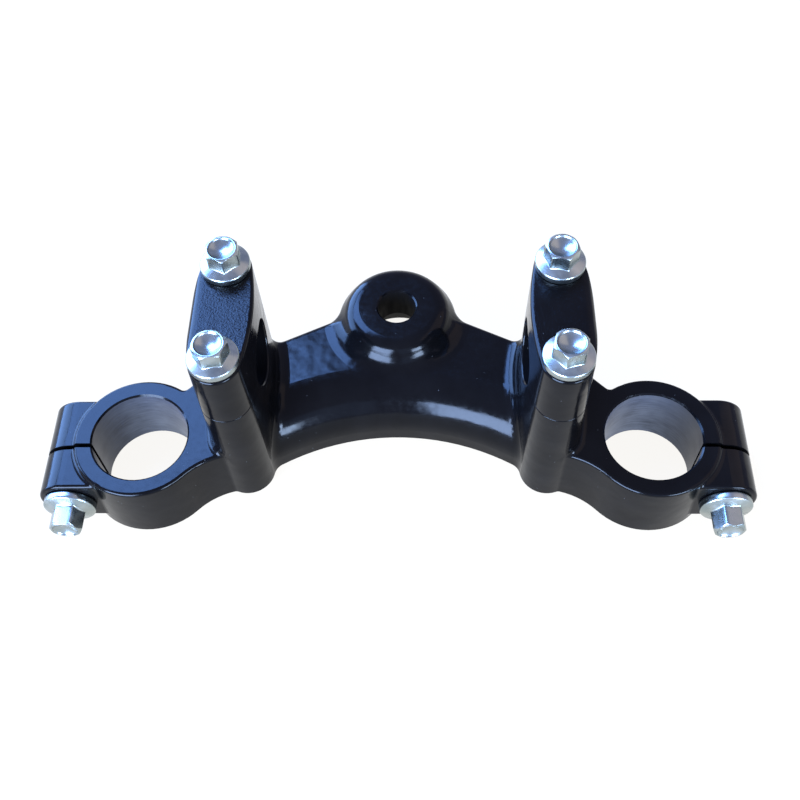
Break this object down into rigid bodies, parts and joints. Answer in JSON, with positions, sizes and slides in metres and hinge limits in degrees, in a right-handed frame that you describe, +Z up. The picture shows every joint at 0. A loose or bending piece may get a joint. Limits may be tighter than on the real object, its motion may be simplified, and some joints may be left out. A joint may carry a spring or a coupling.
{
  "type": "motorcycle upper fork bridge",
  "caption": "Cast upper fork bridge of a small motorcycle: split fork clamp rings, an arched deck with a stem boss, and integral handlebar risers with bolted caps.",
  "frame": {"origin": "on the axis of the stem bore, where the stem meets the underside of the deck", "axes": "+Z up along the steering stem, +X across the forks to the right side of the picture, -Y towards the front, where the fork legs and the heads of the pinch bolts are"},
  "size_m": [0.245, 0.1042, 0.081],
  "materials": {
    "black_paint": "gloss black paint over cast aluminium, with the fork bores left bare",
    "zinc_steel": "bright zinc plating"
  },
  "bodies": {
    "root": {"fork_bridge": "black_paint", "left_handlebar_cap": "black_paint", "right_handlebar_cap": "black_paint", "cap_bolts": "zinc_steel", "pinch_bolts": "zinc_steel"}
  },
  "joints": []
}
